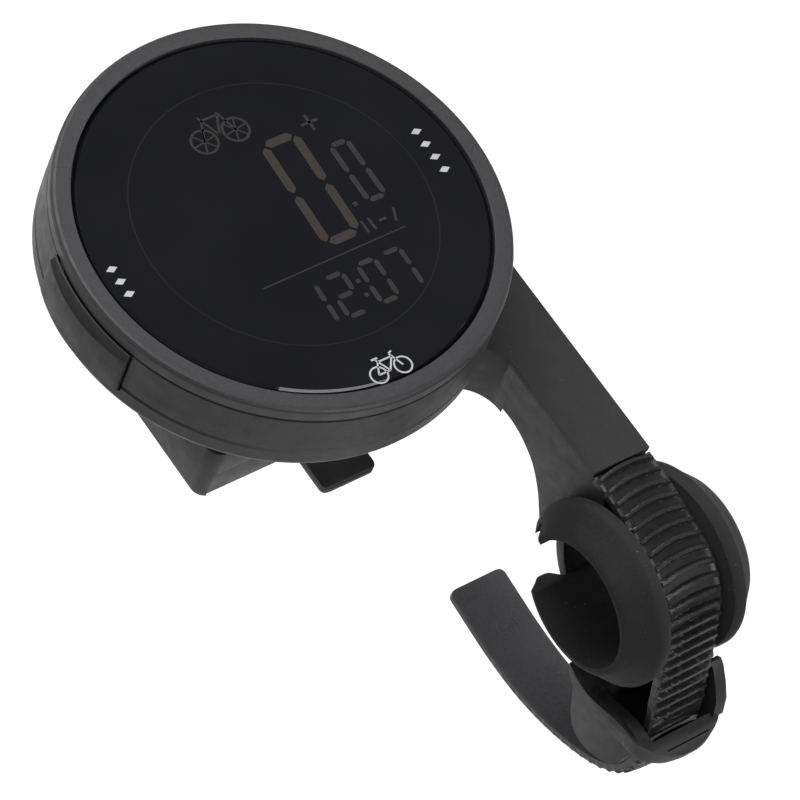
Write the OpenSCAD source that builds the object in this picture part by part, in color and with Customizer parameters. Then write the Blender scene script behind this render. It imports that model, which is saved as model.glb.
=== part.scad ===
// Wireless cycling computer: a round head on an out-front bracket.
// The bracket is fixed to the handlebar by a toothed strap around a
// C-shaped rubber bushing.
// Frame: origin on the handlebar axis, midway along the bushing.
// +X runs along the handlebar to the rider's right, +Y points forward,
// +Z is up. The display lies level and faces +Z.

/* [Node] */
// Which piece to show

/* [Head] */
// Radius of the flat top of the bezel ring
head_r = 36.5; // [30:0.1:42]
// Radius of the opening in the bezel ring
bezel_in = 34.0; // [28:0.1:40]
// Radius of the case wall at the parting line
case_r = 37.5; // [31:0.1:43]
// Height of the head, bezel face to case underside
head_h = 15.0; // [12:0.1:20]
// Depth of the parting line below the bezel face
part_z = 11.0; // [8:0.1:13]
// Thickness of the case wall
wall = 2.0; // [1.2:0.1:3]
// Radius of the round window in the lens print
window_r = 25.0; // [18:0.5:30]

/* [Buttons] */
// Half of the angle that each side button covers
button_half = 16; // [8:1:24]
// Distance the button face stands from the head's axis
button_r = 38.8; // [38:0.1:41]
// Press travel of a side button
button_travel = 0.6; // [0.3:0.1:1.2]

/* [Position of the head] */
// Distance of the head's axis to the left of the clamp's middle
head_left = 33.8; // [0:0.1:45]
// Distance of the head's axis in front of the handlebar axis
head_reach = 67.8; // [45:0.1:90]
// Height of the bezel face above the handlebar axis
head_rise = 33.4; // [20:0.1:45]

/* [Bracket] */
// Width of the cradle under the head
cradle_w = 52.4; // [40:0.2:60]
// Rear face of the cradle, in front of the handlebar axis
cradle_y0 = 41.8; // [25:0.1:60]
// Front face of the cradle
cradle_y1 = 91.3; // [70:0.1:105]
// Underside of the cradle above the handlebar axis
cradle_z0 = 4; // [0:0.5:8]
// Top of the cradle and arm above the handlebar axis
cradle_z1 = 16; // [12:0.5:20]
// Width of the arm
arm_w = 11.4; // [8:0.2:16]

/* [Clamp] */
// Radius of the handlebar that the bushing takes
bar_r = 11.1; // [9.5:0.1:16]
// Radius of the channel that the strap lies in
channel_r = 12.3; // [11:0.1:18]
// Radius of the bushing's flanges
flange_r = 16.2; // [14:0.1:22]
// Length of the bushing along the handlebar
bushing_l = 26.4; // [14:0.2:30]
// Width of the strap
strap_w = 11.4; // [8:0.2:14]
// Thickness of the strap without its teeth
strap_t = 1.2; // [1:0.1:3]
// Height of a strap tooth
tooth_h = 0.75; // [0.4:0.05:1.5]
// Distance between strap teeth
tooth_pitch = 2.4; // [1.5:0.1:4]

/* [Hidden] */
$fn = 96;
e = 0.01;
black = [0.10, 0.10, 0.105];
dark = [0.07, 0.07, 0.075];
rubber = [0.05, 0.05, 0.05];
steel = [0.70, 0.70, 0.72];

// head frame: z = 0 is the bezel face, x = 0 and y = 0 the head's axis
hz = head_rise;
foot_w = 38;        // width of the foot's sliding flange
neck_w = 32;        // width of the foot's neck
foot_y0 = -22.7;
foot_y1 = 20.5;
floor_z = 12.0;     // top of the channel floor in the bracket
boss_a = [40, 140, 222, 318];
boss_r = 30.6;
seat_r = channel_r + 0.05;

module head() { translate([-head_left, head_reach, head_rise]) children(); }
module along_x(w) { rotate([90, 0, 90]) translate([0, 0, -w / 2]) linear_extrude(w) children(); }
module ring(r1, r0, z0, z1) { translate([0, 0, z0]) difference() { cylinder(r = r1, h = z1 - z0); translate([0, 0, -1]) cylinder(r = r0, h = z1 - z0 + 2); } }
module slab(x0, x1, y0, y1, z0, z1) { translate([x0, y0, z0]) cube([x1 - x0, y1 - y0, z1 - z0]); }
// flat sector of a disc, centred on angle a
module sector(r, a, half) { rotate(a - half) rotate_extrude(angle = 2 * half) square([r, 1]); }
function arc(r, a0, a1, n) = [for (i = [0:n]) let (a = a0 + (a1 - a0) * i / n) [r * cos(a), r * sin(a)]];
// smooth curve through points
function cr(p0, p1, p2, p3, t) = 0.5 * ((2 * p1) + (p2 - p0) * t + (2 * p0 - 5 * p1 + 4 * p2 - p3) * t * t + (3 * p1 - p0 - 3 * p2 + p3) * t * t * t);
function curve(p, n) = [for (i = [0:len(p) - 2]) for (k = [0:n - 1]) cr(p[max(i - 1, 0)], p[i], p[i + 1], p[min(i + 2, len(p) - 1)], k / n), p[len(p) - 1]];

// ---------- head: outer pieces ----------
module bezel_ring() color(black) head() rotate_extrude()
  polygon([[bezel_in, -1.3], [bezel_in, -0.12], [bezel_in + 0.12, 0], [head_r - 0.1, 0], [head_r + 0.3, -0.12],
    [head_r + 0.58, -0.4], [head_r + 0.7, -0.8], [head_r + 0.7, -2.6], [35.4, -2.6], [35.4, -1.3]]);

module front_lens() color([0.02, 0.02, 0.025]) head() rotate_extrude()
  polygon([[0, -1.85], [33.7, -1.85], [33.7, -0.75], [33.1, -0.2], [0, -0.2]]);

module lens_tape() color(dark) head() ring(33.2, 31.6, -2.2, -1.86);

// one side button: a pad that bulges from the case wall, a stem through the wall
module pad(grow = 0) {
  intersection() {
    translate([0, 0, -11.9 - grow]) difference() {
      translate([button_r - 30, 0, 0]) cylinder(r = 30 + grow, h = 9 + 2 * grow);
      translate([0, 0, -1]) cylinder(r = 37.3 - grow, h = 12 + 2 * grow);
    }
    translate([0, 0, -13]) linear_extrude(12) polygon([[0, 0], [60, -60 * tan(button_half) - grow], [60, 60 * tan(button_half) + grow]]);
  }
}
module button() {
  difference() {
    union() {
      pad();
      translate([34.2, -1.5, -8.9]) cube([3.4, 3, 3]);
    }
    // crescent bevel along the upper edge of the pad
    rotate_extrude() polygon([[37.45, -2.7], [39.4, -2.7], [39.4, -5.1]]);
  }
}
module set_button() color(black) head() rotate(181) button();
module mode_button() color(black) head() rotate(1) button();

module upper_case() color(black) head() difference() {
  union() {
    rotate_extrude() polygon([[case_r - wall, -part_z], [case_r - 0.3, -part_z], [case_r, -part_z + 0.3], [case_r - 0.25, -3.1],
      [36.8, -3.0], [36.8, -2.62], [35.38, -2.62], [35.38, -2.2], [31.6, -2.2], [31.6, -3.8], [case_r - wall - 0.1, -3.8]]);
    for (a = boss_a) rotate(a) translate([boss_r, 0, -13.0]) cylinder(r = 2.6, h = 10, $fn = 48);
    for (a = boss_a) rotate(a) slab(boss_r, 35.9, -1, 1, -part_z, -3.2);
    // bosses for the circuit board's screws
    for (a = [90, 270]) rotate(a) { translate([29.5, 0, -7.55]) cylinder(r = 2.2, h = 3.7, $fn = 32); slab(29.5, 35.9, -1, 1, -7.0, -3.82); }
  }
  // pockets that the side buttons sit in, and the holes for their stems
  for (a = [1, 181]) rotate(a) {
    difference() {
      translate([0, 0, -12.3]) linear_extrude(9.75) polygon([[0, 0], [60, -60 * tan(button_half + 0.5)], [60, 60 * tan(button_half + 0.5)]]);
      translate([0, 0, -14]) cylinder(r = 36.4, h = 14);
    }
    slab(33, 37, -1.9, 1.9, -9.3, -5.5);
  }
  for (a = boss_a) rotate(a) translate([boss_r, 0, -13.5]) cylinder(r = 0.95, h = 8.5, $fn = 32);
  for (a = [90, 270]) rotate(a) translate([29.5, 0, -8]) cylinder(r = 0.92, h = 3.2, $fn = 32);
}

module rear_case() color(black) head() difference() {
  union() {
    rotate_extrude() polygon([[0, -head_h], [case_r - 0.95, -head_h], [case_r - 0.3, -head_h + 0.35], [case_r, -head_h + 1.1], [case_r, -part_z - 0.5],
      [case_r - 0.35, -part_z - 0.15], [case_r - 1.9, -part_z - 0.15], [case_r - 1.9, -13.3], [0, -13.3]]);
    // foot: a neck and a flange that slide into the bracket
    slab(-neck_w / 2, neck_w / 2, foot_y0, foot_y1, -19.4, -head_h + e);
    slab(-foot_w / 2, foot_w / 2, foot_y0, foot_y1, -21.2, -19.4);
  }
  // battery bay with the bayonet groove and its three entry slots
  translate([0, 0, -22]) cylinder(r = 10.4, h = 6.4);
  translate([0, 0, -22]) cylinder(r = 13.0, h = 2.45);
  translate([0, 0, -20.6]) cylinder(r = 14.4, h = 1.2);
  ring(12.65, 11.35, -19.7, -19.18);
  for (a = [0, 120, 240]) translate([0, 0, -21.5]) scale([1, 1, 1.2]) sector(14.4, a, 17);
  // slots in the bay's ceiling for the two contacts
  slab(-2.2, 2.2, -5, 5, -16, -12);
  slab(9.6, 10.5, -1.9, 1.9, -16, -12);
  // pocket for the latch's hook, with a ramp on its rider side
  translate([-2, 0, 0]) rotate([90, 0, 90]) translate([0, 0, -3.6]) linear_extrude(7.2)
    polygon([[-22, 12.1 - hz], [-15.7, 13.465 - hz], [-15.7, 11 - hz], [-22, 11 - hz]]);
  // seats for the case screws
  for (a = boss_a) rotate(a) translate([boss_r, 0, -20]) { cylinder(r = 1.3, h = 10, $fn = 32); cylinder(r = 2.1, h = 6.2, $fn = 32); }
  // groove for the case seal
  ring(34.9, 33.7, -13.9, -12);
  // clearance behind the side buttons
  for (a = [1, 181]) rotate(a) difference() {
    translate([0, 0, -12.3]) linear_extrude(3) polygon([[0, 0], [60, -60 * tan(button_half + 0.5)], [60, 60 * tan(button_half + 0.5)]]);
    translate([0, 0, -14]) cylinder(r = 36.4, h = 14);
  }
}

module case_seal() color(rubber) head() ring(34.7, 33.9, -13.9, -12.1);
module case_screws() color(steel) head() for (a = boss_a) rotate(a) translate([boss_r, 0, 0]) difference() {
  union() { translate([0, 0, -14.9]) cylinder(r = 1.9, h = 1.05, $fn = 32); translate([0, 0, -13.9]) cylinder(r = 0.93, h = 6.4, $fn = 32); }
  for (b = [0, 90]) rotate(b) translate([-1.3, -0.25, -15.2]) cube([2.6, 0.5, 0.8]);
}

// ---------- head: inner pieces ----------
module button_seals() color(rubber) head() for (a = [1, 181]) rotate(a) translate([32.6, 0, -7.4]) rotate([0, 90, 0])
  cylinder(r1 = 2.6, r2 = 1.9, h = 0.9, $fn = 32);
module side_switches() color(steel) head() for (a = [1, 181]) rotate(a) {
  slab(29.0, 31.6, -3, 3, -9.3, -5.6);
  translate([31.6, 0, -7.4]) rotate([0, 90, 0]) cylinder(r = 1.5, h = 0.9, $fn = 32);
}
module lcd_frame() color(dark) head() difference() {
  translate([0, 0, -3.75]) cylinder(r = 31.2, h = 1.25);
  translate([0, 0, -4]) cylinder(r = window_r + 0.6, h = 2);
  for (a = boss_a) rotate(a) translate([boss_r, 0, -5]) cylinder(r = 3.0, h = 4, $fn = 32);
}
module lcd_glass() color([0.25, 0.27, 0.24]) head() intersection() { slab(-24, 24, -24, 24, -5.5, -3.85); translate([0, 0, -6]) cylinder(r = 27.5, h = 4); }
module backlight_plate() color([0.9, 0.9, 0.86]) head() intersection() { slab(-22.5, 22.5, -21, 21, -6.9, -5.6); translate([0, 0, -7]) cylinder(r = 26, h = 4); }
module zebra_strips() color([0.8, 0.35, 0.45]) head() for (s = [-1, 1]) translate([0, s * 22.6, 0]) slab(-12, 12, -0.8, 0.8, -7.55, -5.55);
module circuit_board() color([0.05, 0.30, 0.16]) head() difference() {
  translate([0, 0, -8.7]) cylinder(r = 33.6, h = 1.1);
  for (a = boss_a) rotate(a) translate([boss_r, 0, -10]) cylinder(r = 3.2, h = 4, $fn = 32);
  for (a = [1, 181]) rotate(a) slab(28.6, 35, -3.5, 3.5, -10, -5);
  for (a = [90, 270]) rotate(a) translate([29.5, 0, -10]) cylinder(r = 1.0, h = 4, $fn = 32);
}
module main_chip() color(dark) head() slab(-20, -10, 12, 22, -10.0, -8.72);
module radio_chip() color(dark) head() slab(12, 19, 12, 19, -9.8, -8.72);
module crystal_can() color(steel) head() translate([4, 17, -9.9]) cylinder(r = 1.5, h = 1.15, $fn = 32);
module buzzer() color(dark) head() translate([-13.5, -15, -12.6]) difference() {
  cylinder(r = 6, h = 3.88, $fn = 48);
  translate([0, 0, -1]) cylinder(r = 1, h = 2, $fn = 32);
}
module board_screws() color(steel) head() for (s = [-1, 1]) translate([0, s * 29.5, 0]) {
  translate([0, 0, -9.6]) cylinder(r = 1.7, h = 0.88, $fn = 32);
  translate([0, 0, -9.6]) cylinder(r = 0.9, h = 4.6, $fn = 32);
}
module coin_cell() color(steel) head() { translate([0, 0, -19.2]) cylinder(r = 10.0, h = 2.3); translate([0, 0, -16.95]) cylinder(r = 8.8, h = 0.85); }
module contact_negative() color([0.8, 0.7, 0.4]) head() along_x(3) polygon([[-4.5, -8.75], [-4.5, -15.6], [0, -16.05], [4.5, -15.3], [4.5, -15.0], [0, -15.7], [-4.1, -15.3], [-4.1, -8.75]]);
module contact_positive() color([0.8, 0.7, 0.4]) head() slab(10.02, 10.3, -1.6, 1.6, -18.6, -8.75);
module cover_seal() color(rubber) head() ring(12.6, 11.4, -19.58, -19.2);
module battery_cover() color(black) head() difference() {
  union() {
    translate([0, 0, -21.0]) cylinder(r = 12.9, h = 1.4);
    for (a = [60, 180, 300]) translate([0, 0, -20.45]) scale([1, 1, 0.85]) sector(14.2, a, 15);
  }
  translate([-6, -1, -21.5]) cube([12, 2, 1.2]);
}

// ---------- bracket ----------
hxl = -head_left;
cx0 = hxl - cradle_w / 2;          // left side of the cradle
cx1 = hxl + cradle_w / 2;
// side view of the arm: top line, saddle round the bushing, underside
arm_low = curve([[17.6, -6.6], [18.9, -4.3], [20.4, -1.7], [22.0, 0.4], [24.2, 2.6], [27.4, 4.3], [30.6, 5.1], [34.0, 5.0], [38.2, 4.2], [43, 4], [55, 4]], 6);
arm_side = concat([[55, cradle_z1], [12.7, cradle_z1], [12.6, 13.7], [9.2, 13.5]], arc(seat_r, 52, -17, 24), arm_low);
// the jaw strip under the bushing's gap, down to the buckle
jaw = concat(arc(seat_r, -14, -126, 36), arc(seat_r + 1.9, -126, -14, 36));
// side view of the buckle's cheeks, clear of the bushing's flanges
cheek = curve([[-1.9, -18.9], [-4.4, -19.9], [-7.6, -20.2], [-10.8, -19.2], [-13.8, -18.0], [-16.8, -17.2], [-19.8, -17.4], [-22.4, -18.0], [-23.2, -19.6],
  [-22.0, -20.9], [-19.9, -21.6], [-19.0, -24.2], [-18.2, -27.2], [-16.0, -29.9], [-13.4, -31.6], [-10.6, -32.3], [-8.0, -31.5], [-6.1, -29.0], [-4.7, -25.2], [-3.0, -21.4], [-1.9, -18.9]], 4);
// side view of the lip that stands out from the cheeks along their upper edge
lip = [[-1.9, -18.9], [-4.4, -19.9], [-7.6, -20.2], [-10.8, -19.2], [-13.8, -18.0], [-16.8, -17.2], [-19.8, -17.4], [-22.9, -18.1], [-24.0, -19.3], [-23.6, -20.4], [-22.4, -20.9],
  [-19.9, -19.9], [-16.8, -19.5], [-13.8, -20.3], [-10.8, -21.6], [-7.4, -22.5], [-4.0, -22.0], [-2.4, -20.4]];
pawl_at = [-22.35, -18.9];
module bracket_arm() color(black) difference() {
  union() {
    // arm, with a top plate that overhangs its sides a little
    along_x(arm_w - 0.7) polygon(arm_side);
    slab(-arm_w / 2, arm_w / 2, 12.7, 58.3, cradle_z1 - 1.2, cradle_z1);
    // cradle with a rounded front corner on the arm's side
    translate([0, 0, cradle_z0]) linear_extrude(cradle_z1 - cradle_z0) {
      difference() {
        translate([cx0, cradle_y0]) square([arm_w / 2 - cx0 - 12, cradle_y1 - cradle_y0]);
        translate([cx0, cradle_y0]) square(2.4);
        translate([cx0, cradle_y1 - 2.4]) square(2.4);
      }
      translate([cx0 + 2.4, cradle_y0 + 2.4]) circle(2.4);
      translate([cx0 + 2.4, cradle_y1 - 2.4]) circle(2.4);
      translate([-12, cradle_y0]) square([12 + arm_w / 2, cradle_y1 - 33 - cradle_y0]);
      translate([arm_w / 2 - 12, cradle_y1 - 33]) circle(12);
      // fillet between the arm and the cradle's rear face
      translate([-arm_w / 2 + 0.35 - 8, cradle_y0 - 8]) difference() { square([8.02, 8.02]); circle(8); }
    }
    along_x(strap_w - 0.4) polygon(jaw);
    // buckle: two cheeks with a lip, a bowed rear bar, a front block, a cavity floor and a guide behind the strap
    intersection() {
      union() for (s = [-1, 1]) {
        translate([s * 7.1, 0, 0]) along_x(2.2) polygon(cheek);
        translate([s * 8.5, 0, 0]) along_x(1.0) polygon(lip);
      }
      translate([0, 0, -40]) linear_extrude(30) union() {
        translate([0, -18]) scale([1, 0.733]) circle(9.0);
        translate([-9.0, -18]) square([18, 22]);
      }
    }
    intersection() {
      translate([0, 0, -22]) linear_extrude(6) difference() {
        translate([0, -18]) scale([1, 0.733]) circle(9.0);
        translate([-6, -20.8]) square([12, 20]);
        translate([-10, -17.6]) square([20, 20]);
      }
      along_x(20) polygon([[-17.0, -17.5], [-20.6, -17.4], [-22.6, -17.7], [-23.9, -18.4], [-24.6, -19.4], [-24.5, -20.3], [-23.7, -21.0], [-21.6, -21.2], [-17.0, -20.4]]);
    }
    translate([7.1, 0, 0]) along_x(2.2) polygon([[-15.4, -18.6], [-15.2, -10.6], [-15.5, -8.6], [-16.3, -8.0], [-17.3, -8.7], [-19.3, -11.2], [-20.9, -13.9], [-21.8, -17.6], [-20.6, -19.4]]);
    along_x(strap_w + 1.6) polygon([[-17.9, -21.2], [-16.6, -21.0], [-16.2, -26.0], [-14.4, -29.4], [-15.5, -30.0], [-17.4, -26.8]]);
    along_x(strap_w + 1.6) polygon([[-9.4, -20.4], [-9.0, -29.8], [-7.2, -29.6], [-4.9, -25.0], [-3.2, -20.2], [-6.0, -20.3]]);
    along_x(strap_w + 1.6) polygon([[-16.4, -24.6], [-9.1, -24.6], [-9.0, -29.4], [-14.5, -29.1], [-15.8, -27.6]]);
    along_x(strap_w - 0.4) difference() {
      polygon([[-2.0, -12.6], [-7.4, -11.0], [-9.6, -13.6], [-9.4, -21.0], [-3.2, -20.6], [-2.2, -16.6]]);
      circle(seat_r + 0.9);
    }
  }
  // space for the pawl in the rear bar
  slab(-4.4, 4.4, -23.25, -19.5, -20.4, -17.95);
  translate([-5.3, pawl_at[0], pawl_at[1]]) rotate([0, 90, 0]) cylinder(r = 0.56, h = 10.6, $fn = 32);
  translate([0, cradle_y1 - 83, 0]) cradle_cuts();
}
module cradle_cuts() {
  // channel for the head's foot, open at the front
  translate([hxl, 0, 0]) {
    slab(-foot_w / 2 - 0.3, foot_w / 2 + 0.3, 36.4, 90, floor_z, 14.3);
    slab(-neck_w / 2 - 0.3, neck_w / 2 + 0.3, 36.4, 90, floor_z, 20);
    // window for the latch's hook
    slab(-6, 2, 36.8, 45, 8, 14);
  }
  // cavity for the cover and the latch, open below and at the rear
  slab(cx0 + 1.5, cx1 - 1.2, 30, 79, 0, 10.3);
  // holes for the cover's screws
  for (p = screw_at) translate([p[0], p[1], 6]) cylinder(r = 0.95, h = 5.6, $fn = 32);
}
screw_at = [[cx0 + 5.5, 42], [cx1 - 5.2, 42], [cx0 + 5.5, 74], [cx1 - 5.2, 74]];

module bracket_cover() color(dark) translate([0, cradle_y1 - 83, 0]) difference() {
  union() {
    difference() {
      slab(cx0 + 1.7, cx1 - 1.4, 33.9, 78.8, cradle_z0, 10.1);
      slab(cx0 + 3.4, cx1 - 3.1, 35.7, 77.2, cradle_z0 + 1.4, 11);
    }
    for (p = screw_at) translate([p[0], p[1], cradle_z0]) cylinder(r = 2.9, h = 6.1, $fn = 32);
    // posts under the latch's trunnions
    for (x = [hxl - 2 - 9, hxl - 2 + 9]) difference() {
      slab(x - 1.2, x + 1.2, 68, 72, cradle_z0 + 1, 10.2);
      translate([x - 3, 70, 9]) rotate([0, 90, 0]) cylinder(r = 1.07, h = 6, $fn = 32);
    }
    translate([hxl - 2, 47, cradle_z0]) cylinder(r = 1.3, h = 2.4, $fn = 32);
  }
  // notch that the latch's finger tab works in
  slab(hxl - 8.0, hxl + 4.0, 33, 41.5, 0, 12);
  for (p = screw_at) translate([p[0], p[1], 0]) { cylinder(r = 1.25, h = 20, $fn = 32); cylinder(r = 2.0, h = 5.6, $fn = 32); }
}
module bracket_screws() color(steel) translate([0, cradle_y1 - 83, 0]) for (p = screw_at) translate([p[0], p[1], 0]) difference() {
  union() { translate([0, 0, 4.2]) cylinder(r = 1.85, h = 1.35, $fn = 32); translate([0, 0, 5.5]) cylinder(r = 0.93, h = 5.6, $fn = 32); }
  for (b = [0, 90]) rotate(b) translate([-1.3, -0.25, 4]) cube([2.6, 0.5, 0.9]);
}

// release latch: a lever with two trunnions, a hook and a finger tab
module release_latch() color(black) translate([hxl - 2, cradle_y1 - 83, 0]) {
  difference() {
    union() {
      along_x(10.4) polygon([[69, 8.2], [71, 8.4], [71, 9.6], [69, 9.9], [42.2, 9.9], [40.4, 9.3], [36.4, 5.2], [35.0, 4.95], [25.9, 4.95], [25.5, 4.6], [25.5, 3.8], [25.9, 3.4], [35.4, 3.4], [37.4, 4.2], [41.2, 8.2]]);
      along_x(6.6) polygon([[39.4, 9.0], [39.4, 12.25], [43.5, 13.2], [43.5, 9.0]]);
      translate([-9.9, 70, 9]) rotate([0, 90, 0]) cylinder(r = 1.0, h = 19.8, $fn = 32);
    }
    // round the two free corners of the tab
    for (s = [-1, 1]) translate([s * 5.2, 25.5, 3]) mirror([s > 0 ? 1 : 0, 0, 0]) translate([0, 0, 0]) difference() {
      translate([-1, -1, -1]) cube([2.4, 2.4, 4]);
      translate([1.4, 1.4, -2]) cylinder(r = 1.4, h = 6, $fn = 32);
    }
  }
}
// coil spring that holds the latch up
module latch_spring() color(steel) translate([hxl - 2, cradle_y1 - 36, 0]) coil(1.9, 0.22, 5.65, 7.95, 4);
module coil(r, w, z0, z1, turns) {
  n = 20; m = 8; k = n * turns;
  pts = [for (i = [0:k]) let (a = 360 * i / n, z = z0 + (z1 - z0) * i / k) for (j = [0:m - 1]) let (b = 360 * j / m) [(r + w * cos(b)) * cos(a), (r + w * cos(b)) * sin(a), z + w * sin(b)]];
  polyhedron(pts, concat([[for (j = [m - 1:-1:0]) j]], [[for (j = [0:m - 1]) k * m + j]],
    [for (i = [0:k - 1]) for (j = [0:m - 1]) [i * m + j, i * m + (j + 1) % m, (i + 1) * m + (j + 1) % m, (i + 1) * m + j]]), convexity = 10);
}

// ---------- strap and clamp ----------
// outer line of the strap's web in side view, from the arm, over the
// bushing, through the buckle and forward along the free tail
web = curve([[12.3, 15.15], [9.2, 15.1], [6.2, 14.9], [3.2, 14.45], [0, 13.75], [-3.6, 13.1], [-6.9, 11.75], [-9.8, 9.5], [-11.9, 6.7], [-13.2, 3.4],
  [-14.3, 0], [-15.3, -3.4], [-16.3, -7.0], [-17.2, -10.8], [-18.3, -14.8], [-19.2, -18.8], [-19.7, -22.8], [-19.7, -26.6], [-18.9, -30.2], [-17.0, -33.6],
  [-14.2, -36.6], [-10.8, -39.0], [-6.9, -41.0], [-2.6, -42.7], [2.0, -44.0], [6.8, -44.8], [11.8, -45.0], [16.8, -44.8], [21.6, -44.3], [27.0, -43.7]], 4);
wn = len(web);
function dirn(i) = let (d = web[min(i + 1, wn - 1)] - web[max(i - 1, 0)]) d / norm(d);
function side(i) = let (d = dirn(i)) [d[1], -d[0]];     // points away from the handlebar at the start
function run(i) = i == 0 ? 0 : norm(web[i] - web[i - 1]) + run(i - 1);
runs = [for (i = 0, s = 0; i < wn; s = s + (i + 1 < wn ? norm(web[i + 1] - web[i]) : 0), i = i + 1) s];
total = runs[wn - 1];
// point at distance s along the web, moved out by h
function at(s, h) = let (i = max([for (k = [0:wn - 2]) if (runs[k] <= s) k]), f = (s - runs[i]) / (runs[i + 1] - runs[i]), p = web[i] + (web[i + 1] - web[i]) * f) p + side(i) * h;
teeth_n = floor((total - 13) / tooth_pitch);
tooth_s = [for (k = [0:teeth_n - 1]) 0.7 + k * tooth_pitch];
toothed = concat([at(0.2, 0)], [for (s = tooth_s) for (q = [[0.0, 0], [0.12, 0.8], [0.3, 1], [0.6, 1], [0.78, 0.8], [0.9, 0]]) at(s + q[0], tooth_h * q[1])], [at(total - 8, 0), at(total - 4, 0), at(total, 0)]);
inner = [for (i = [wn - 1:-1:0]) web[i] - side(i) * strap_t];
module web_2d() polygon(concat([for (i = [0:wn - 1]) web[i]], inner));
module strap_2d() polygon(concat(toothed, inner));
module ratchet_strap() color(black) difference() {
  union() {
    // the web, and the teeth a little narrower than it
    along_x(strap_w) difference() { web_2d(); circle(seat_r + 0.02); }
    along_x(strap_w - 1.4) difference() { strap_2d(); circle(seat_r + 0.02); }
  }
  // rounded corners and the shallow round mould mark on the free tail
  for (s = [-1, 1]) translate([s * strap_w / 2, 27, -48]) mirror([s > 0 ? 1 : 0, 0, 0]) difference() {
    translate([-1, -1.2, 0]) cube([2.2, 2.4, 10]);
    translate([1.2, -1.2, -1]) cylinder(r = 1.2, h = 12, $fn = 32);
  }
  translate([0.2, 17.0, -43.75]) cylinder(r = 2.3, h = 2, $fn = 48);
}
module strap_pawl() color(black) translate([0, pawl_at[0], pawl_at[1]]) {
  along_x(8.2) polygon([[-0.55, -0.45], [-0.7, 0], [-0.45, 0.55], [0, 0.7], [0.5, 0.45], [1.5, -0.35], [2.2, -0.95], [2.6, -1.25], [2.5, -1.45], [2.0, -1.3], [1.2, -1.05], [0.2, -0.72]]);
  translate([-5.15, 0, 0]) rotate([0, 90, 0]) cylinder(r = 0.5, h = 10.3, $fn = 32);
}
module rubber_bushing() color(rubber) rotate([90, 0, 90]) difference() {
  rotate([0, 0, -5]) rotate_extrude(angle = 319)
    polygon(concat(bush_half, [for (i = [len(bush_half) - 1:-1:0]) [bush_half[i][0], -bush_half[i][1]]]));
  // only tongues of the flanges are left at the upper end
  rotate([0, 0, -7]) rotate_extrude(angle = 19) polygon([[0, -15], [14.4, -15], [14.4, -6.4], [20, -6.4], [20, 6.4], [14.4, 6.4], [14.4, 15], [0, 15]]);
}
// half of the bushing's section: bore edge, cone, flange, channel
bush_half = [[bar_r, -bushing_l / 2], [bar_r + 0.7, -bushing_l / 2], [bar_r + 1.2, 0.25 - bushing_l / 2], [14.1, -10.9], [14.35, -10.6], [flange_r - 0.2, -8.95], [flange_r, -8.5],
  [flange_r, -7.3], [flange_r - 0.35, -6.6], [channel_r, -strap_w / 2 - 0.35]];

bezel_ring();
front_lens();
lens_tape();
upper_case();
rear_case();
case_seal();
set_button();
mode_button();
button_seals();
side_switches();
lcd_frame();
lcd_glass();
backlight_plate();
zebra_strips();
circuit_board();
main_chip();
radio_chip();
crystal_can();
buzzer();
coin_cell();
contact_positive();
contact_negative();
battery_cover();
cover_seal();
case_screws();
board_screws();
bracket_arm();
bracket_cover();
bracket_screws();
release_latch();
latch_spring();
ratchet_strap();
strap_pawl();
rubber_bushing();
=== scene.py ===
import bisect
import math
import bmesh
import bpy
from mathutils import Matrix, Vector


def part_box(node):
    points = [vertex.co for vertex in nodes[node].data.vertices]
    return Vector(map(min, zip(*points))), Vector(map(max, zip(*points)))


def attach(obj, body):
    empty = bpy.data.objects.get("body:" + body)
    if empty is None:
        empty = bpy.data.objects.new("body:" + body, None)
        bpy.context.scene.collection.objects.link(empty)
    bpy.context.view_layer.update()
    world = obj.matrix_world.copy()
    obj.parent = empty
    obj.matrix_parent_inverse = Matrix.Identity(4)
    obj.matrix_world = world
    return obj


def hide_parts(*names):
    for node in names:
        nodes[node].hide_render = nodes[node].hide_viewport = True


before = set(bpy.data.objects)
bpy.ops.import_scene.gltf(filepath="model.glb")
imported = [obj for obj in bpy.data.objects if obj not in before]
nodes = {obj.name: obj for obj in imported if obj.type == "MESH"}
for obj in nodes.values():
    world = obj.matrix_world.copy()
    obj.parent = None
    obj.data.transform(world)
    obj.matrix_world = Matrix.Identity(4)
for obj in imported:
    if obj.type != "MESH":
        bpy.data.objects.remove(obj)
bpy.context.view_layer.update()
MM = 0.001

# ---------------------------------------------------------------- places
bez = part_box("bezel_ring")
HEAD = Vector(((bez[0][0] + bez[1][0]) / 2, (bez[0][1] + bez[1][1]) / 2, bez[1][2]))
LENS_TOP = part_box("front_lens")[1][2]
low = min(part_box(n)[0][2] for n in nodes)


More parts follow.
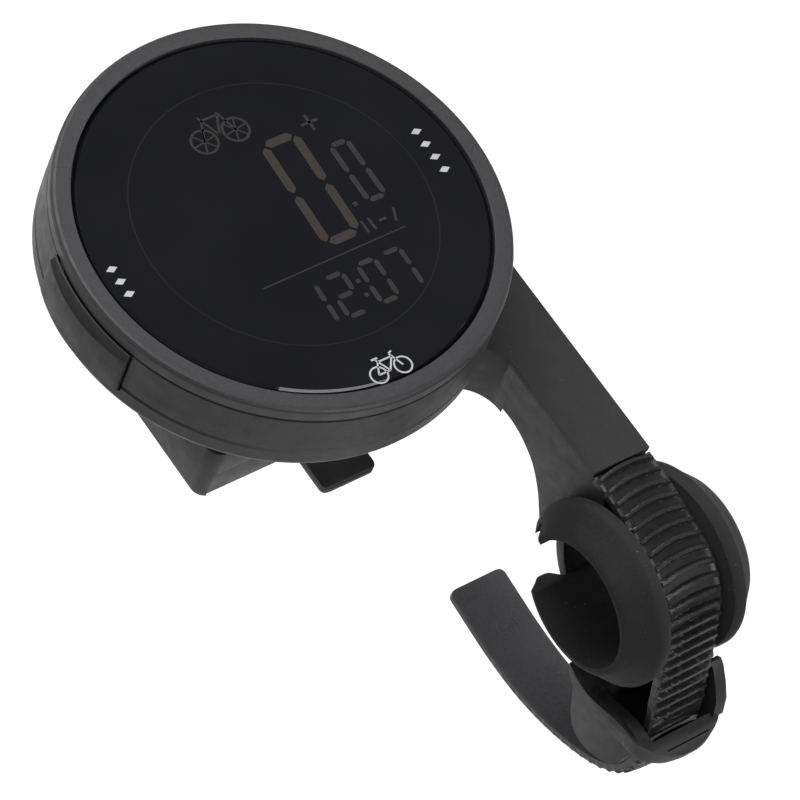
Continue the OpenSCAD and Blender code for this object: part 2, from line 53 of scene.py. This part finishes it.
# ---------------------------------------------------------------- materials
class Mat:
    """A small helper that builds one Principled material from nodes."""

    def __init__(self, name, rough=0.5, spec=0.5, metallic=0.0):
        self.m = bpy.data.materials.new(name)
        self.m.use_nodes = True
        self.t = self.m.node_tree
        self.n = self.t.nodes
        self.n.clear()
        out = self.n.new("ShaderNodeOutputMaterial")
        self.p = self.n.new("ShaderNodeBsdfPrincipled")
        self.t.links.new(self.p.outputs[0], out.inputs[0])
        self.p.inputs["Roughness"].default_value = rough
        self.p.inputs["Specular IOR Level"].default_value = spec
        self.p.inputs["Metallic"].default_value = metallic
        self.co = self.n.new("ShaderNodeTexCoord").outputs["Object"]
        self.bump_from = None

    def link(self, a, b):
        self.t.links.new(a, b)

    def noise(self, size, detail=3.0, rough=0.55, stretch=None):
        """Noise whose features are about size metres across."""
        v = self.co
        if stretch:
            mp = self.n.new("ShaderNodeMapping")
            mp.inputs["Scale"].default_value = stretch
            self.link(v, mp.inputs[0])
            v = mp.outputs[0]
        k = self.n.new("ShaderNodeTexNoise")
        k.inputs["Scale"].default_value = 0.5 / size
        k.inputs["Detail"].default_value = detail
        k.inputs["Roughness"].default_value = rough
        self.link(v, k.inputs["Vector"])
        return k.outputs["Fac"]

    def voronoi(self, size):
        """Distance to scattered points about size metres apart."""
        k = self.n.new("ShaderNodeTexVoronoi")
        k.inputs["Scale"].default_value = 1.0 / size
        self.link(self.co, k.inputs["Vector"])
        return k.outputs["Distance"]

    def ramp(self, fac, stops):
        """Colour ramp; a stop is (position, grey) or (position, (r, g, b))."""
        r = self.n.new("ShaderNodeValToRGB")
        e = r.color_ramp.elements
        while len(e) < len(stops):
            e.new(0.5)
        for el, (pos, c) in zip(e, stops):
            el.position = pos
            el.color = (c, c, c, 1) if isinstance(c, (int, float)) else (*c, 1)
        self.link(fac, r.inputs[0])
        return r.outputs[0]

    def math(self, op, a, b):
        k = self.n.new("ShaderNodeMath")
        k.operation = op
        for i, v in enumerate((a, b)):
            if isinstance(v, (int, float)):
                k.inputs[i].default_value = v
            else:
                self.link(v, k.inputs[i])
        return k.outputs[0]

    def mix(self, fac, a, b):
        k = self.n.new("ShaderNodeMix")
        k.data_type = "RGBA"
        for i, v in ((0, fac), (6, a), (7, b)):
            if isinstance(v, (int, float)):
                k.inputs[i].default_value = v
            elif isinstance(v, tuple):
                k.inputs[i].default_value = (*v, 1)
            else:
                self.link(v, k.inputs[i])
        return k.outputs[2]

    def color(self, v):
        self.link(v, self.p.inputs["Base Color"])

    def rough(self, v):
        self.link(v, self.p.inputs["Roughness"])

    def bump(self, height, strength, distance):
        b = self.n.new("ShaderNodeBump")
        b.inputs["Strength"].default_value = strength
        b.inputs["Distance"].default_value = distance
        self.link(height, b.inputs["Height"])
        if self.bump_from is not None:
            self.link(self.bump_from, b.inputs["Normal"])
        self.bump_from = b.outputs[0]
        self.link(self.bump_from, self.p.inputs["Normal"])

    def edges(self):
        """Wear: 1 near convex edges, from the mesh's own pointiness."""
        g = self.n.new("ShaderNodeNewGeometry")
        return self.ramp(g.outputs["Pointiness"], [(0.50, 0.0), (0.58, 1.0)])


def plastic(name, tone, rough, grain, grain_depth, speck=0.0, wear=0.25, smudge=0.12):
    """Moulded black plastic: spark-eroded grain, faint handling smudges, paler edges and dust."""
    a = Mat(name, rough=rough, spec=0.32)
    fine = a.noise(grain, 2.0, 0.6)
    broad = a.noise(9 * MM, 3.0)
    tint = (tone, tone * 0.99, tone * 1.07)
    dark, light = (tuple(c * k for c in tint) for k in (0.80, 1.22))
    base = a.ramp(fine, [(0.30, dark), (0.70, light)])
    handled = a.ramp(broad, [(0.35, 0.0), (0.75, smudge)])
    base = a.mix(handled, base, (tone * 1.9, tone * 1.9, tone * 1.95))
    worn = a.math("MULTIPLY", a.edges(), wear)
    base = a.mix(worn, base, (tone * 3.2, tone * 3.2, tone * 3.3))
    if speck:
        dot = a.ramp(a.voronoi(1.5 * MM), [(0.0, 1.0), (speck, 0.0)])
        some = a.ramp(a.noise(3.2 * MM, 1.0), [(0.50, 0.0), (0.60, 1.0)])
        base = a.mix(a.math("MULTIPLY", dot, some), base, (0.16, 0.16, 0.155))
    a.color(base)
    a.rough(a.ramp(a.noise(1.3 * MM, 4.0), [(0.3, rough - 0.06), (0.7, rough + 0.07)]))
    a.bump(fine, 0.55, grain_depth)
    a.bump(a.noise(5 * MM, 2.0), 0.12, 0.05 * MM)
    return a.m


# name: material name, tone, roughness, grain size and grain depth in mm, other settings
PLASTICS = {
    "case": ("case_black", 0.019, 0.50, 0.20, 0.030, dict(speck=0.05, wear=0.30)),
    "bezel": ("bezel_black", 0.0215, 0.48, 0.24, 0.045, dict(speck=0.07, wear=0.35)),
    "arm": ("arm_black", 0.0125, 0.50, 0.22, 0.035, dict(speck=0.06, wear=0.35)),
    "button": ("button_black", 0.0115, 0.52, 0.22, 0.040, dict(wear=0.35)),
    "strap": ("strap_black", 0.012, 0.36, 0.30, 0.012, dict(speck=0.05, wear=0.35, smudge=0.25)),
    # the tail is the strap's plastic made lighter: painted light standing in for light that falls on the
    # tail
    "tail": ("strap_tail_painted_light", 0.054, 0.42, 0.30, 0.012, dict(speck=0.04, wear=0.2, smudge=0.5)),
}
M = {key: plastic(name, tone, rough, grain * MM, depth * MM, **more)
     for key, (name, tone, rough, grain, depth, more) in PLASTICS.items()}


def rubber(name):
    """Matt black rubber with a fine grain and dust on it."""
    a = Mat(name, rough=0.72, spec=0.16)
    a.p.inputs["Sheen Weight"].default_value = 0.03
    a.p.inputs["Sheen Roughness"].default_value = 0.5
    fine = a.noise(0.18 * MM, 3.0, 0.65)
    cloud = a.noise(6 * MM, 4.0, 0.6)
    base = a.ramp(fine, [(0.3, 0.0125), (0.7, 0.0195)])
    base = a.mix(a.ramp(cloud, [(0.45, 0.0), (0.8, 0.35)]), base, (0.030, 0.030, 0.029))
    # lint and dust that sticks to the rubber
    dot = a.ramp(a.voronoi(1.15 * MM), [(0.0, 1.0), (0.085, 0.0)])
    some = a.ramp(a.noise(2.6 * MM, 1.0), [(0.48, 0.0), (0.56, 1.0)])
    base = a.mix(a.math("MULTIPLY", dot, some), base, (0.30, 0.30, 0.28))
    a.color(base)
    a.rough(a.ramp(cloud, [(0.3, 0.66), (0.7, 0.82)]))
    a.bump(fine, 0.5, 0.03 * MM)
    return a.m


M["rubber"] = rubber("bushing_rubber_black")


def lens_mat():
    """Clear cover with a black print behind it: deep black, polished, with faint wipe marks."""
    a = Mat("lens_black_gloss", rough=0.045, spec=0.5)
    s = a.noise(14 * MM, 3.0)
    a.color(a.ramp(s, [(0.3, (0.0016, 0.0018, 0.0034)), (0.7, (0.0028, 0.0030, 0.0052))]))
    wipe = a.noise(2.5 * MM, 5.0, 0.6, stretch=(1.0, 6.0, 1.0))
    a.rough(a.ramp(wipe, [(0.35, 0.035), (0.75, 0.085)]))
    return a.m


def mark_mat(name, c, rough=0.045):
    """Ink or display segment of colour c."""
    a = Mat(name, rough=rough, spec=0.5)
    k = a.noise(0.6 * MM, 2.0)
    a.color(a.ramp(k, [(0.3, tuple(v * 0.9 for v in c)), (0.7, tuple(v * 1.08 for v in c))]))
    a.rough(a.ramp(a.noise(2.5 * MM, 4.0), [(0.3, rough), (0.7, rough + 0.04)]))
    return a.m


M["lens"] = lens_mat()
M["print"] = mark_mat("print_white", (0.38, 0.385, 0.40), 0.25)
M["seg_big"] = mark_mat("segment_strong", (0.033, 0.028, 0.024))
M["seg_small"] = mark_mat("segment_faint", (0.026, 0.0245, 0.0235))
M["seg_line"] = mark_mat("segment_line", (0.011, 0.011, 0.0115))


def metal(name, c, rough):
    """Bare or plated metal."""
    a = Mat(name, rough=rough, metallic=1.0)
    k = a.noise(0.35 * MM, 4.0)
    a.color(a.ramp(k, [(0.3, tuple(v * 0.85 for v in c)), (0.7, c)]))
    a.rough(a.ramp(a.noise(1.2 * MM, 3.0), [(0.3, rough - 0.08), (0.7, rough + 0.12)]))
    a.bump(k, 0.2, 0.01 * MM)
    return a.m


def plain(name, c, rough, grain=0.3 * MM, depth=0.01 * MM):
    """Simple painted or moulded surface for the inner pieces."""
    a = Mat(name, rough=rough)
    k = a.noise(grain, 3.0)
    dark, light = tuple(v * 0.85 for v in c), tuple(min(1, v * 1.12) for v in c)
    a.color(a.ramp(k, [(0.3, dark), (0.7, light)]))
    a.rough(a.ramp(a.noise(2 * MM, 3.0), [(0.3, rough - 0.05), (0.7, rough + 0.08)]))
    a.bump(k, 0.4, depth)
    return a.m


M["steel"] = metal("plated_steel", (0.62, 0.62, 0.63), 0.3)
M["brass"] = metal("contact_brass", (0.80, 0.66, 0.36), 0.32)
M["board"] = plain("solder_mask_green", (0.02, 0.16, 0.07), 0.35, 1.2 * MM)
M["white"] = plain("diffuser_white", (0.82, 0.82, 0.78), 0.4)
M["lcd"] = plain("lcd_grey", (0.22, 0.23, 0.20), 0.12, 4 * MM, 0.0)
M["zebra"] = plain("zebra_pink", (0.62, 0.25, 0.30), 0.6)
M["inner"] = plain("inner_black", (0.03, 0.03, 0.03), 0.55)

WEARS = {
    "bezel": ["bezel_ring"],
    "lens": ["front_lens"],
    "case": ["upper_case", "rear_case", "battery_cover"],
    "button": ["set_button", "mode_button"],
    "arm": ["bracket_arm", "bracket_cover", "release_latch"],
    "strap": ["ratchet_strap", "strap_pawl"],
    "rubber": ["case_seal", "button_seals", "cover_seal", "rubber_bushing"],
    "steel": ["side_switches", "crystal_can", "coin_cell", "case_screws", "board_screws",
              "bracket_screws", "latch_spring"],
    "brass": ["contact_positive", "contact_negative"],
    "inner": ["lens_tape", "lcd_frame", "main_chip", "radio_chip", "buzzer"],
    "lcd": ["lcd_glass"],
    "white": ["backlight_plate"],
    "zebra": ["zebra_strips"],
    "board": ["circuit_board"],
}
LOOK = {node: key for key, group in WEARS.items() for node in group}
for name, ob in nodes.items():
    for s in ob.material_slots:
        s.material = M[LOOK[name]]
    if not ob.material_slots:
        ob.data.materials.append(M[LOOK[name]])


# ---------------------------------------------------------------- pieces
def new_mesh(name, verts, faces, mat):
    me = bpy.data.meshes.new(name)
    me.from_pydata([tuple(v) for v in verts], [], faces)
    me.materials.append(mat)
    ob = bpy.data.objects.new(name, me)
    bpy.context.scene.collection.objects.link(ob)
    return ob


def softened(node, body, width, segments=3, angle=28):
    """A copy of a CAD piece with its sharp moulded edges rounded over."""
    src = nodes[node]
    me = src.data.copy()
    me.name = node + "_soft"
    bm = bmesh.new()
    bm.from_mesh(me)
    bmesh.ops.remove_doubles(bm, verts=bm.verts, dist=2e-7)
    bmesh.ops.dissolve_limit(
        bm, angle_limit=math.radians(0.6), verts=bm.verts, edges=bm.edges)
    bm.to_mesh(me)
    bm.free()
    ob = bpy.data.objects.new(node + "_soft", me)
    bpy.context.scene.collection.objects.link(ob)
    ob.matrix_world = src.matrix_world.copy()
    me.materials.clear()
    me.materials.append(M[LOOK[node]])
    for p in me.polygons:
        p.material_index = 0
        p.use_smooth = True
    b = ob.modifiers.new("edge", "BEVEL")
    b.width = width
    b.segments = segments
    b.limit_method = "ANGLE"
    b.angle_limit = math.radians(angle)
    b.harden_normals = True
    b.use_clamp_overlap = True
    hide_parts(node)
    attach(ob, body)


softened("bracket_arm", "bracket", 0.35 * MM)
softened("bracket_cover", "bracket", 0.2 * MM, 2)
softened("release_latch", "release_latch", 0.3 * MM)
softened("set_button", "set_button", 0.3 * MM)
softened("mode_button", "mode_button", 0.3 * MM)
softened("rubber_bushing", "bracket", 0.3 * MM)


# The strap is a web with bowed, crowned ribs. It winds over the bushing, goes down through the
# buckle and forward as a free tail. Its centre line is given as (y, z) in millimetres.
ROUTE = [
    (12.3, 15.15), (9.2, 15.1), (6.2, 14.9), (3.2, 14.45), (0, 13.75), (-3.6, 13.1),
    (-6.9, 11.75), (-9.8, 9.5), (-11.9, 6.7), (-13.2, 3.4), (-14.3, 0), (-15.3, -3.4),
    (-16.3, -7.0), (-17.2, -10.8), (-18.3, -14.8), (-19.2, -18.8), (-19.7, -22.8), (-19.7, -26.6),
    (-18.9, -30.2), (-17.0, -33.6), (-14.2, -36.6), (-10.8, -39.0), (-6.9, -41.0), (-2.6, -42.7),
    (2.0, -44.0), (6.8, -44.8), (11.8, -45.0), (16.8, -44.8), (21.6, -44.3), (27.0, -43.7)]
ROUTE_STEPS = 10            # straight pieces between two route points
PAWL_POINT = 15             # the route point beside the pawl
WEB = 1.2                   # thickness of the web
RIB_PITCH = 2.4
FIRST_RIB = 1.1
RIB_BOW = 0.75              # how far a rib's middle runs ahead of its ends
RIB_FOOT, RIB_FLANK = 0.50, 0.20
RAIL = 0.18                 # height of the thin rails along both edges
SMOOTH_END = 12.5           # the last stretch has no ribs
TAIL_PAINTED_LIGHT = 46              # over this last stretch the inner face gets a lighter copy of the strap plastic: painted light, as if the tail were lit
END_RADIUS = 1.3
ROW_STEP = 0.14
COLUMNS = 24


def spline(pts, n):
    """Catmull-Rom curve through pts, with n steps between two points."""
    out = []
    for i in range(len(pts) - 1):
        ends = (max(i - 1, 0), i, i + 1, min(i + 2, len(pts) - 1))
        a, b, c, d = (Vector(pts[k]) for k in ends)
        for k in range(n):
            t = k / n
            out.append(0.5 * ((2 * b) + (c - a) * t + (2 * a - 5 * b + 4 * c - d) * t * t
                              + (3 * b - a - 3 * c + d) * t ** 3))
    return out + [Vector(pts[-1])]


strap_line = spline(ROUTE, ROUTE_STEPS)
strap_runs = [0.0]
for p, q in zip(strap_line, strap_line[1:]):
    strap_runs.append(strap_runs[-1] + (q - p).length)
strap_total = strap_runs[-1]
ribs_end = strap_total - SMOOTH_END
pawl_s = strap_runs[PAWL_POINT * ROUTE_STEPS]


def strap_at(s):
    """Point of the strap's outer face at distance s, and the direction away from the bushing."""
    lo = bisect.bisect_right(strap_runs, s, 0, len(strap_runs) - 1) - 1
    f = (s - strap_runs[lo]) / (strap_runs[lo + 1] - strap_runs[lo])
    a, b = strap_line[max(lo - 1, 0)], strap_line[min(lo + 2, len(strap_line) - 1)]
    d = (b - a).normalized()
    return strap_line[lo].lerp(strap_line[lo + 1], f), Vector((d.y, -d.x))


def rib_height(s, u):
    """Rib height over the web at distance s and at u from -1 to 1 across."""
    bowed = s + RIB_BOW * (1 - u * u)
    k = round((bowed - FIRST_RIB) / RIB_PITCH)
    if k < 0 or FIRST_RIB + k * RIB_PITCH > ribs_end:
        return 0.0
    away = abs(bowed - (FIRST_RIB + k * RIB_PITCH))
    top = 0.55 + 0.55 * (1 - u * u)
    # the ribs stay low beside the pawl, so that it can swing
    top *= 0.30 + 0.70 * min(1.0, max(0.0, (abs(s - pawl_s) - 2.2) / 1.2))
    e = min(1.0, max(0.0, (RIB_FOOT - away) / RIB_FLANK))
    return top * e * e * (3 - 2 * e)


def strap_half_width(s, half):
    """Half the strap's width, rounded off at the free end."""
    left = strap_total - s
    if left >= END_RADIUS:
        return half
    return half - (END_RADIUS - math.sqrt(max(0.0, END_RADIUS ** 2 - (END_RADIUS - left) ** 2)))


def tidy_normals(me, merge=None):
    bm = bmesh.new()
    bm.from_mesh(me)
    if merge:
        bmesh.ops.remove_doubles(bm, verts=bm.verts, dist=merge)
    bmesh.ops.recalc_face_normals(bm, faces=bm.faces)
    bm.to_mesh(me)
    bm.free()


def build_strap():
    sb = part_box("ratchet_strap")
    half = (sb[1][0] - sb[0][0]) / 2 / MM
    us = [(-1 + 2 * k / COLUMNS) * 0.93 for k in range(COLUMNS + 1)]
    us = [-1.0] + us + [1.0]
    rows = int(strap_total / ROW_STEP) + 1
    nc = len(us)
    outer, inner = [], []
    for r in range(rows + 1):
        s = min(r * ROW_STEP, strap_total)
        p, nrm = strap_at(s)
        hw = strap_half_width(s, half)
        under = p - nrm * WEB
        for u in us:
            h = 0.0 if abs(u) == 1 else rib_height(s, u)
            rail = RAIL if 0.86 < abs(u) < 1 and s < ribs_end else 0.0
            q = p + nrm * max(h, rail)
            outer.append((u * hw * MM, q.x * MM, q.y * MM))
            inner.append((u * hw * MM, under.x * MM, under.y * MM))
    off = len(outer)
    faces = []
    for r in range(rows):
        for c in range(nc - 1):
            a = r * nc + c
            faces.append([a, a + nc, a + nc + 1, a + 1])
            faces.append([off + a, off + a + 1, off + a + nc + 1, off + a + nc])
        for c in (0, nc - 1):
            a = r * nc + c
            faces.append([a, off + a, off + a + nc, a + nc])
    for r in (0, rows):
        for c in range(nc - 1):
            a = r * nc + c
            faces.append([a, off + a, off + a + 1, a + 1])
    ob = new_mesh("strap_ribbed", outer + inner, faces, M["strap"])
    me = ob.data
    me.materials.append(M["tail"])
    # the inner face of the last stretch gets the lighter tail copy of the strap plastic: painted light
    for p in me.polygons:
        on_inner_face = all(v >= off for v in p.vertices)
        row = (p.vertices[0] - off) // nc
        if on_inner_face and row * ROW_STEP > strap_total - TAIL_PAINTED_LIGHT:
            p.material_index = 1
    tidy_normals(me, merge=1e-7)
    for p in me.polygons:
        p.use_smooth = True
    me.set_sharp_from_angle(angle=math.radians(40))
    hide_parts("ratchet_strap")
    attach(ob, "bracket")


def build_tail_mark():
    """Round mould mark on the tail's inner side, in the tail's lighter painted-light tone."""
    n = 48
    profile = ((2.3, -0.05), (2.22, 0.05), (2.05, 0.05), (1.98, 0.0))     # radius, lift
    p, nrm = strap_at(strap_total - 10.2)
    centre = p - nrm * WEB
    along = Vector((nrm.y, -nrm.x))
    verts, faces = [], []
    for radius, lift in profile + ((0.0, 0.0),):
        for k in range(n if radius else 1):
            a = 2 * math.pi * k / n
            q = centre + along * radius * math.sin(a) - nrm * lift
            verts.append(((0.2 + radius * math.cos(a)) * MM, q.x * MM, q.y * MM))
    for j in range(len(profile) - 1):
        for k in range(n):
            k2 = (k + 1) % n
            faces.append([j * n + k, j * n + k2, (j + 1) * n + k2, (j + 1) * n + k])
    inner = (len(profile) - 1) * n
    for k in range(n):
        faces.append([inner + k, inner + (k + 1) % n, inner + n])
    faces.append([n - 1 - k for k in range(n)])
    disc = new_mesh("tail_mark", verts, faces, M["tail"])
    tidy_normals(disc.data)
    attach(disc, "bracket")


build_strap()
build_tail_mark()


# ---------------------------------------------------------------- display and printed marks
MARK_Z = LENS_TOP + 0.004 * MM
MARK_THICK = 0.012 * MM


def flat(name, shapes, mat):
    """Thin marks on the lens: outlines in millimetres, x to the right and y up."""
    z, top = MARK_Z, MARK_Z + MARK_THICK
    verts, faces = [], []
    for pts in shapes:
        k = len(verts)
        n = len(pts)
        verts += [(HEAD.x + x * MM, HEAD.y + y * MM, z) for x, y in pts]
        verts += [(HEAD.x + x * MM, HEAD.y + y * MM, top) for x, y in pts]
        faces.append([k + n + i for i in range(n)])
        faces.append([k + n - 1 - i for i in range(n)])
        for i in range(n):
            j = (i + 1) % n
            faces.append([k + i, k + j, k + n + j, k + n + i])
    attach(new_mesh(name, verts, faces, mat), "head")


def bar(p, q, w):
    """One display segment from p to q, with pointed ends."""
    p, q = Vector(p), Vector(q)
    d = (q - p).normalized()
    s = Vector((-d.y, d.x)) * w / 2
    t = d * w * 0.5
    return [tuple(v) for v in (p, p + t - s, q - t - s, q, q - t + s, p + t + s)]


def line(p, q, w):
    """A plain stroke of width w."""
    p, q = Vector(p), Vector(q)
    d = (q - p).normalized()
    s = Vector((-d.y, d.x)) * w / 2
    return [tuple(p - s), tuple(q - s), tuple(q + s), tuple(p + s)]


def ring(c, r, w, n=28):
    """A circle drawn as n short quads."""
    out = []
    inside, outside = r - w / 2, r + w / 2
    for i in range(n):
        a, b = (math.radians(360.0 * k / n) for k in (i, i + 1))
        out.append([(c[0] + radius * math.cos(t), c[1] + radius * math.sin(t))
                    for radius, t in ((inside, a), (outside, a), (outside, b), (inside, b))])
    return out


SEGS = {"0": "abcdef", "1": "bc", "2": "abged", "7": "abc"}
CORNER = {"a": ((0, 1), (1, 1)), "b": ((1, 1), (1, .5)), "c": ((1, .5), (1, 0)), "d": ((0, 0), (1, 0)),
          "e": ((0, .5), (0, 0)), "f": ((0, 1), (0, .5)), "g": ((0, .5), (1, .5))}


def digit(ch, x, y, w, h, t, lean=0.05, gap=0.25):
    """Seven-segment numeral with its lower left corner at x, y."""
    def pt(u, v):
        return (x + u * w + lean * v * h, y + v * h)
    out = []
    for s in SEGS[ch]:
        p, q = (Vector(pt(*c)) for c in CORNER[s])
        d = (q - p).normalized() * gap
        out.append(bar(p + d, q - d, t))
    return out


flat("display_speed", digit("0", 2.9, -7.9, 5.9, 19.9, 1.55, 0.05, 0.3), M["seg_big"])
flat("display_tenths",
     digit("0", 13.7, -3.9, 3.2, 11.4, 0.95, 0.02, 0.2) + [line((10.9, -3.5), (11.7, -3.5), 0.8)],
     M["seg_small"])
clock = []
for numeral, left in (("1", -7.2), ("2", -1.9), ("0", 4.4), ("7", 9.3)):
    clock += digit(numeral, left, -21.0, 3.3, 7.6, 0.85)
clock += [line((2.7, -18.6), (3.4, -18.6), 0.7), line((2.9, -15.9), (3.6, -15.9), 0.7)]
flat("display_clock", clock, M["seg_small"])

# the rule, plain ticks in place of the unit, a cross and a faint bicycle
small = [line(*args) for args in (
    ((-11.4, -10.7), (16.3, -10.5), 0.22),
    ((10.2, -9.0), (10.2, -6.6), 0.5), ((11.6, -9.0), (11.6, -6.6), 0.5),
    ((13.0, -7.8), (14.4, -7.8), 0.5), ((15.6, -9.0), (16.6, -6.6), 0.45),
    ((11.9, 12.9), (15.1, 12.9), 0.5), ((13.5, 11.3), (13.5, 14.5), 0.5))]
for cx in (-4.3, 1.7):
    small += ring((cx, 16.7), 2.25, 0.42, 24)
    for k in range(3):
        a = math.radians(60 * k + 10)
        dx, dy = 2.0 * math.cos(a), 2.0 * math.sin(a)
        small.append(line((cx - dx, 16.7 - dy), (cx + dx, 16.7 + dy), 0.28))
small += [line(p, q, 0.4) for p, q in (
    ((-4.3, 16.7), (-2.6, 20.4)), ((-2.6, 20.4), (0.5, 20.4)), ((0.5, 20.9), (1.7, 16.7)),
    ((-1.3, 16.9), (-2.9, 21.2)), ((-1.3, 16.9), (0.4, 20.3)))]
flat("display_marks", small, M["seg_small"])
flat("display_window_edge", ring((0, 0), 25.0, 0.16, 120), M["seg_line"])


# printed marks beside the buttons and a plain bicycle sign, all of them without lettering
def diamond_row(cx, n, step):
    """n small diamonds one above the other at x = cx."""
    out = []
    long_half, short_half = 2.5 * 0.42, 0.62
    for i in range(n):
        y = (i - (n - 1) / 2) * step
        out.append([(cx - long_half, y), (cx, y - short_half), (cx + long_half, y), (cx, y + short_half)])
    return out


flat("mark_left", diamond_row(-31.2, 3, 2.5), M["print"])
flat("mark_right", diamond_row(28.7, 4, 2.7), M["print"])
hubs = ((-4.2, -32.2), (1.3, -32.2))
sign = [quad for hub in hubs for quad in ring(hub, 1.75, 0.34, 24)]
sign += [line(*args) for args in (
    ((-4.2, -32.2), (-2.9, -29.7), 0.34), ((-2.9, -29.7), (0.3, -29.7), 0.34),
    ((1.3, -32.2), (0.1, -29.0), 0.34), ((-1.6, -32.2), (-3.1, -29.0), 0.34),
    ((-1.6, -32.2), (0.3, -29.7), 0.34), ((-4.2, -32.2), (-1.6, -32.2), 0.34),
    ((-3.8, -28.9), (-2.4, -28.9), 0.42), ((0.1, -29.0), (0.9, -28.7), 0.34))]
SIGN_X, SIGN_Y, SIGN_SCALE = -1.45, -30.3, 0.84
sign = [[(SIGN_X + (x - SIGN_X) * SIGN_SCALE, SIGN_Y + (y - SIGN_Y) * SIGN_SCALE) for x, y in pts]
        for pts in sign]
flat("mark_bicycle", sign, M["print"])

# ---------------------------------------------------------------- setting
FLOOR_Z = low - 0.55
FLOOR_HALF = 6
fm = Mat("floor_pale", rough=0.85, spec=0.2)
fm.color(fm.ramp(fm.noise(0.08, 3.0), [(0.3, 0.90), (0.7, 0.94)]))
corners = [(x * FLOOR_HALF, y * FLOOR_HALF, FLOOR_Z) for x, y in ((-1, -1), (1, -1), (1, 1), (-1, 1))]
floor = new_mesh("floor", corners, [[0, 1, 2, 3]], fm.m)
floor.visible_diffuse = False       # no bounce from below on the black side faces


def area(name, direction, dist, size, watts, at):
    """A round soft light at dist metres from the point at, facing it."""
    d = Vector(direction).normalized()
    li = bpy.data.lights.new(name, "AREA")
    li.shape = "DISK"
    li.size = size
    li.energy = watts
    ob = bpy.data.objects.new(name, li)
    ob.location = at + d * dist
    ob.rotation_euler = d.to_track_quat("Z", "Y").to_euler()
    bpy.context.scene.collection.objects.link(ob)


mid = Vector((-0.025, 0.03, 0.0))
area("key", (-0.12, 0.60, 1.0), 1.6, 1.4, 22, mid)
area("fill", (0.05, -0.95, 0.72), 1.8, 1.4, 22, mid)
area("back", (-0.25, 1.0, 0.7), 1.8, 1.2, 16, mid)
area("side", (1.0, -0.25, 0.35), 1.8, 1.0, 8, mid)
world = bpy.data.worlds.new("soft")
world.use_nodes = True
background = world.node_tree.nodes["Background"]
background.inputs[0].default_value = (0.235, 0.235, 0.243, 1)
background.inputs[1].default_value = 1.0
bpy.context.scene.world = world
bpy.context.scene.view_settings.view_transform = "Standard"

# camera: above the rider's left, rolled as the photograph is
az, el, roll, dist, lens = -55.2, 53.4, 24.6, 0.702, 202.5
target = HEAD + Vector((3.5, -32.3, -11.5)) * MM
a, e = math.radians(az), math.radians(el)
back = Vector((math.sin(a) * math.cos(e), -math.cos(a) * math.cos(e), math.sin(e)))
right = Vector((0, 0, 1)).cross(back).normalized()
up = back.cross(right)
rr = math.radians(roll)
right, up = (right * math.cos(rr) + up * math.sin(rr),
             up * math.cos(rr) - right * math.sin(rr))
cam = bpy.data.cameras.new("camera")
cam.lens = lens
cam.sensor_width = 36
cam.clip_start = 0.05
cam.clip_end = 30
co = bpy.data.objects.new("camera", cam)
turn = Matrix((right, up, back)).transposed().to_4x4()
co.matrix_world = Matrix.Translation(target + back * dist) @ turn
bpy.context.scene.collection.objects.link(co)
bpy.context.scene.camera = co
